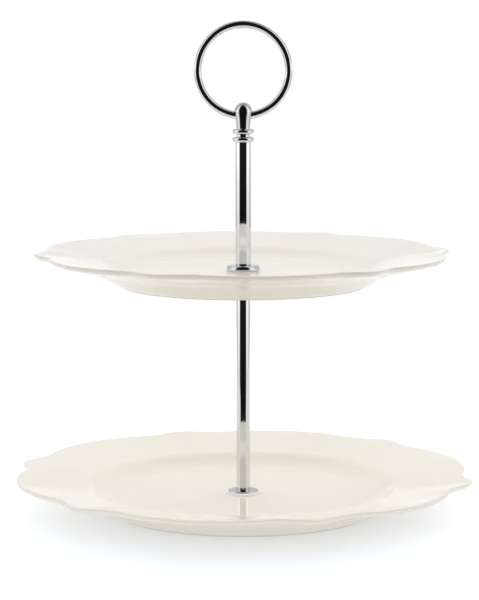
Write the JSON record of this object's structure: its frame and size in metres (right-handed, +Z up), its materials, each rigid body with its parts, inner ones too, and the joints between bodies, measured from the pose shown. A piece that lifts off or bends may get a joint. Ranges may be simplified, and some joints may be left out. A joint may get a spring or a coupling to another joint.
{
  "type": "tiered cake stand",
  "caption": "Two-tier cake stand: scalloped glazed plates, the larger below, clamped on a slim chromed rod with flanges, a beaded finial and an upright ring handle.",
  "frame": {"origin": "on the rod's axis at the level of the lower plate's foot ring, where the stand rests", "axes": "+Z up the rod to the ring handle; the ring handle lies in the X-Z plane, and -Y is the side that faces a viewer"},
  "size_m": [0.2696, 0.2708, 0.2901],
  "materials": {
    "glaze": "glossy cream-white glaze over earthenware, foot ring wiped bare",
    "chrome": "polished bright chrome plate",
    "zinc_steel": "bright zinc-plated steel hardware",
    "brass": "plain turned brass, hidden inside the tubes",
    "nylon": "natural moulded nylon, satin"
  },
  "bodies": {
    "lower_plate": {"lower_plate": "glaze", "lower_plate_top_pad": "nylon"},
    "lower_rod": {"lower_flange": "chrome", "lower_rod": "chrome", "lower_rod_bottom_insert": "brass", "lower_rod_top_insert": "brass", "joining_stud": "zinc_steel", "upper_support_washer": "chrome"},
    "upper_plate": {"upper_plate_under_pad": "nylon", "upper_plate": "glaze", "upper_plate_top_pad": "nylon"},
    "upper_flange": {"upper_flange": "chrome"},
    "upper_rod": {"upper_rod": "chrome", "upper_rod_bottom_insert": "brass", "upper_rod_top_insert": "brass", "finial_stud": "zinc_steel", "finial": "chrome", "ring_handle": "chrome"},
    "base_washer": {"base_washer": "zinc_steel", "lower_plate_under_pad": "nylon"},
    "base_bolt": {"base_bolt": "zinc_steel"}
  },
  "joints": [
    {"name": "rod_swivel", "type": "hinge", "parent": "lower_plate", "child": "lower_rod", "pos_m": [0, 0, 0.0096], "axis": [0, 0, 1], "continuous": true},
    {"name": "upper_plate_swivel", "type": "hinge", "parent": "lower_rod", "child": "upper_plate", "pos_m": [0, 0, 0.1382], "axis": [0, 0, 1], "continuous": true},
    {"name": "upper_flange_lift", "type": "slide", "parent": "lower_rod", "child": "upper_flange", "axis": [0, 0, 1], "range_m": [0, 0.007]},
    {"name": "handle_unscrew", "type": "hinge", "parent": "upper_flange", "child": "upper_rod", "pos_m": [0, 0, 0.1459], "axis": [0, 0, 1], "range_deg": [0, 3601]},
    {"name": "base_washer_drop", "type": "slide", "parent": "lower_rod", "child": "base_washer", "axis": [0, 0, -1], "range_m": [0, 0.007]},
    {"name": "base_bolt_unscrew", "type": "hinge", "parent": "base_washer", "child": "base_bolt", "pos_m": [0, 0, 0.0027], "axis": [0, 0, -1], "range_deg": [0, 3601]}
  ],
  "couplings": [
    {"joint": "handle_unscrew", "follows": "upper_flange_lift", "rad_per_m": 8976},
    {"joint": "base_bolt_unscrew", "follows": "base_washer_drop", "rad_per_m": 8976}
  ]
}
